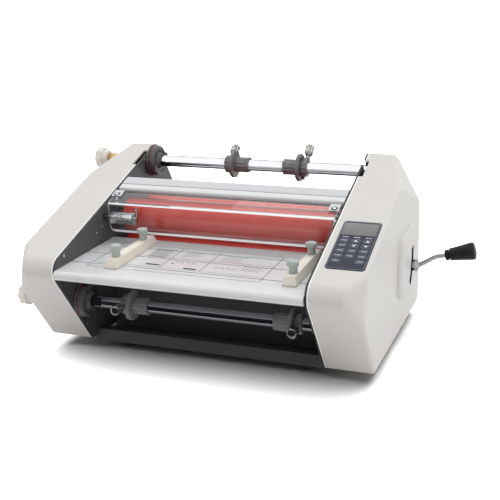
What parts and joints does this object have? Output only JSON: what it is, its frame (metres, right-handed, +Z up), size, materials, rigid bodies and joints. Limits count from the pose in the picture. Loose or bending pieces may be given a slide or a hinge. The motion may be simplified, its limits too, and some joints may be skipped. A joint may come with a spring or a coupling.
{
  "type": "roll laminator",
  "caption": "Desktop roll laminator: slotted feed table with side guides, silicone rollers behind a clear guard, film supply shafts above and below, pressure lever and keypad.",
  "frame": {"origin": "middle of the machine's box, lever and knobs included, on the floor under the feet", "axes": "+X across the machine to the lever's side, +Y from the feed table to the outlet, +Z up"},
  "size_m": [0.666, 0.4334, 0.3],
  "materials": {
    "cover": "warm off-white moulded plastic, fine matt grain",
    "plate": "dark grey powder coat",
    "tray": "dark grey satin powder coat",
    "white": "white satin lacquer on aluminium",
    "steel": "ground and polished",
    "zinc": "zinc plated",
    "brass": "turned",
    "chuck": "dark grey moulded nylon",
    "silicone": "red silicone rubber, smooth",
    "clear": "clear polycarbonate sheet",
    "cream": "cream moulded plastic",
    "grey_knob": "grey-green moulded plastic",
    "ivory": "ivory moulded plastic",
    "black": "black, glossy",
    "keypad": "printed slate blue-grey membrane",
    "rubber": "black rubber",
    "nylon": "natural nylon",
    "board": "green circuit board"
  },
  "bodies": {
    "frame": {"cover_left": "cover", "cover_right": "cover", "side_plate_left": "plate", "side_plate_right": "plate", "base_tray": "tray", "foot_front_left": "rubber", "foot_front_right": "rubber", "foot_rear_left": "rubber", "foot_rear_right": "rubber", "bay_wall": "tray", "rear_panel": "tray", "top_bar": "white", "feed_table": "white", "upper_tension_bush": "brass", "lower_tension_bush": "brass", "gear_motor": "zinc", "keypad_membrane": "keypad", "control_board": "board", "power_inlet": "black"},
    "roller_lift": {"bearing_block_left": "nylon", "bearing_block_right": "nylon"},
    "lower_heat": {"lower_heat_roller": "silicone", "lower_heat_gear": "zinc"},
    "upper_heat": {"upper_heat_roller": "silicone", "upper_heat_gear": "zinc"},
    "idler": {"idler_gear": "zinc"},
    "pinion": {"motor_pinion": "zinc"},
    "lower_pull": {"lower_pull_roller": "silicone", "lower_pull_gear": "zinc"},
    "upper_pull": {"upper_pull_roller": "silicone"},
    "pressure_lever": {"lift_cam_shaft": "zinc", "lever_rod": "steel", "lever_grip": "black"},
    "guard": {"guard_shield": "clear", "guard_tab_left": "zinc", "guard_tab_right": "zinc", "latch_bracket": "zinc", "latch_spring": "steel"},
    "latch": {"latch_bolt": "steel"},
    "rocker": {"power_rocker": "black"},
    "upper_supply": {"upper_supply_shaft": "steel", "upper_friction_disc": "chuck"},
    "upper_chuck_left": {"upper_chuck_left": "chuck"},
    "upper_thumb_left": {"upper_thumb_screw_left": "zinc"},
    "upper_chuck_right": {"upper_chuck_right": "chuck"},
    "upper_thumb_right": {"upper_thumb_screw_right": "zinc"},
    "upper_tension": {"upper_tension_knob": "ivory"},
    "lower_supply": {"lower_supply_shaft": "steel", "lower_friction_disc": "chuck"},
    "lower_chuck_left": {"lower_chuck_left": "chuck"},
    "lower_thumb_left": {"lower_thumb_screw_left": "zinc"},
    "lower_chuck_right": {"lower_chuck_right": "chuck"},
    "lower_thumb_right": {"lower_thumb_screw_right": "zinc"},
    "lower_tension": {"lower_tension_knob": "ivory"},
    "guide_left": {"side_guide_left": "cream"},
    "guide_right": {"side_guide_right": "cream"},
    "knob_left_front": {"guide_knob_left_front": "grey_knob"},
    "knob_left_rear": {"guide_knob_left_rear": "grey_knob"},
    "knob_right_front": {"guide_knob_right_front": "grey_knob"},
    "knob_right_rear": {"guide_knob_right_rear": "grey_knob"}
  },
  "joints": [
    {"name": "lower_heat_spin", "type": "hinge", "parent": "frame", "child": "lower_heat", "pos_m": [-0.03596, -0.00097, 0.142], "axis": [1, 0, 0], "continuous": true},
    {"name": "pressure_lever_swing", "type": "hinge", "parent": "frame", "child": "pressure_lever", "pos_m": [-0.03596, 0.03603, 0.134], "axis": [1, 0, 0], "range_deg": [-20, 20]},
    {"name": "roller_lift_slide", "type": "slide", "parent": "frame", "child": "roller_lift", "axis": [0, 0, 1], "range_m": [-0.0021, 0.0021]},
    {"name": "upper_heat_spin", "type": "hinge", "parent": "roller_lift", "child": "upper_heat", "pos_m": [-0.03596, -0.00097, 0.1962], "axis": [1, 0, 0], "continuous": true},
    {"name": "idler_spin", "type": "hinge", "parent": "frame", "child": "idler", "pos_m": [-0.03596, 0.04155, 0.14394], "axis": [1, 0, 0], "continuous": true},
    {"name": "lower_pull_spin", "type": "hinge", "parent": "frame", "child": "lower_pull", "pos_m": [-0.03596, 0.08033, 0.1457], "axis": [1, 0, 0], "continuous": true},
    {"name": "upper_pull_spin", "type": "hinge", "parent": "frame", "child": "upper_pull", "pos_m": [-0.03596, 0.08033, 0.1906], "axis": [1, 0, 0], "continuous": true},
    {"name": "pinion_spin", "type": "hinge", "parent": "frame", "child": "pinion", "pos_m": [-0.03596, -0.02037, 0.10552], "axis": [1, 0, 0], "continuous": true},
    {"name": "upper_supply_spin", "type": "hinge", "parent": "frame", "child": "upper_supply", "pos_m": [-0.03596, 0.11403, 0.2635], "axis": [1, 0, 0], "continuous": true},
    {"name": "upper_chuck_left_slide", "type": "slide", "parent": "upper_supply", "child": "upper_chuck_left", "axis": [1, 0, 0], "range_m": [-0.098, 0.027]},
    {"name": "upper_thumb_left_turn", "type": "hinge", "parent": "upper_chuck_left", "child": "upper_thumb_left", "pos_m": [-0.07976, 0.11403, 0.2635], "axis": [0, 0.8192, 0.5736], "range_deg": [-360, 0]},
    {"name": "upper_chuck_right_slide", "type": "slide", "parent": "upper_supply", "child": "upper_chuck_right", "axis": [1, 0, 0], "range_m": [-0.027, 0.086]},
    {"name": "upper_thumb_right_turn", "type": "hinge", "parent": "upper_chuck_right", "child": "upper_thumb_right", "pos_m": [0.05334, 0.11403, 0.2635], "axis": [0, 0.6428, 0.766], "range_deg": [-360, 0]},
    {"name": "upper_tension_turn", "type": "hinge", "parent": "frame", "child": "upper_tension", "pos_m": [-0.03596, 0.11403, 0.2635], "axis": [1, 0, 0], "range_deg": [-540, 540]},
    {"name": "lower_supply_spin", "type": "hinge", "parent": "frame", "child": "lower_supply", "pos_m": [-0.03596, -0.14247, 0.094], "axis": [1, 0, 0], "continuous": true},
    {"name": "lower_chuck_left_slide", "type": "slide", "parent": "lower_supply", "child": "lower_chuck_left", "axis": [1, 0, 0], "range_m": [-0.04, 0.09]},
    {"name": "lower_thumb_left_turn", "type": "hinge", "parent": "lower_chuck_left", "child": "lower_thumb_left", "pos_m": [-0.14526, -0.14247, 0.094], "axis": [0, -0.9962, 0.0872], "range_deg": [-360, 0]},
    {"name": "lower_chuck_right_slide", "type": "slide", "parent": "lower_supply", "child": "lower_chuck_right", "axis": [1, 0, 0], "range_m": [-0.09, 0.016]},
    {"name": "lower_thumb_right_turn", "type": "hinge", "parent": "lower_chuck_right", "child": "lower_thumb_right", "pos_m": [0.12434, -0.14247, 0.094], "axis": [0, -0.9998, 0.0175], "range_deg": [-360, 0]},
    {"name": "lower_tension_turn", "type": "hinge", "parent": "frame", "child": "lower_tension", "pos_m": [-0.03596, -0.14247, 0.094], "axis": [1, 0, 0], "range_deg": [-540, 540]},
    {"name": "guide_left_slide", "type": "slide", "parent": "frame", "child": "guide_left", "axis": [1, 0, 0], "range_m": [-0.064, 0.1]},
    {"name": "guide_right_slide", "type": "slide", "parent": "frame", "child": "guide_right", "axis": [1, 0, 0], "range_m": [-0.145, 0.017]},
    {"name": "knob_left_front_turn", "type": "hinge", "parent": "guide_left", "child": "knob_left_front", "pos_m": [-0.14696, -0.164, 0.16103], "axis": [0, -0.0332, 0.9995], "range_deg": [-360, 360]},
    {"name": "knob_left_rear_turn", "type": "hinge", "parent": "guide_left", "child": "knob_left_rear", "pos_m": [-0.14696, -0.07904, 0.16384], "axis": [0, -0.0332, 0.9995], "range_deg": [-360, 360]},
    {"name": "knob_right_front_turn", "type": "hinge", "parent": "guide_right", "child": "knob_right_front", "pos_m": [0.12154, -0.164, 0.16103], "axis": [0, -0.0332, 0.9995], "range_deg": [-360, 360]},
    {"name": "knob_right_rear_turn", "type": "hinge", "parent": "guide_right", "child": "knob_right_rear", "pos_m": [0.12154, -0.07904, 0.16384], "axis": [0, -0.0332, 0.9995], "range_deg": [-360, 360]},
    {"name": "guard_swing", "type": "hinge", "parent": "frame", "child": "guard", "pos_m": [-0.03596, -0.02297, 0.226], "axis": [1, 0, 0], "range_deg": [-95, 0]},
    {"name": "latch_slide", "type": "slide", "parent": "guard", "child": "latch", "axis": [1, 0, 0], "range_m": [-0.0025, 0.008], "stiffness_N_per_m": 300, "springref_m": -0.0025, "deforming": ["latch_spring"]},
    {"name": "rocker_tilt", "type": "hinge", "parent": "frame", "child": "rocker", "pos_m": [0.19004, 0.20784, 0.108], "axis": [1, 0, 0], "range_deg": [-6, 6]}
  ],
  "couplings": [
    {"joint": "roller_lift_slide", "follows": "pressure_lever_swing", "m_per_rad": 0.00573},
    {"joint": "upper_heat_spin", "follows": "lower_heat_spin", "ratio": -1},
    {"joint": "idler_spin", "follows": "lower_heat_spin", "ratio": -1.6154},
    {"joint": "lower_pull_spin", "follows": "lower_heat_spin", "ratio": 1.1667},
    {"joint": "upper_pull_spin", "follows": "lower_heat_spin", "ratio": -1.1667},
    {"joint": "pinion_spin", "follows": "lower_heat_spin", "ratio": -1.75}
  ]
}
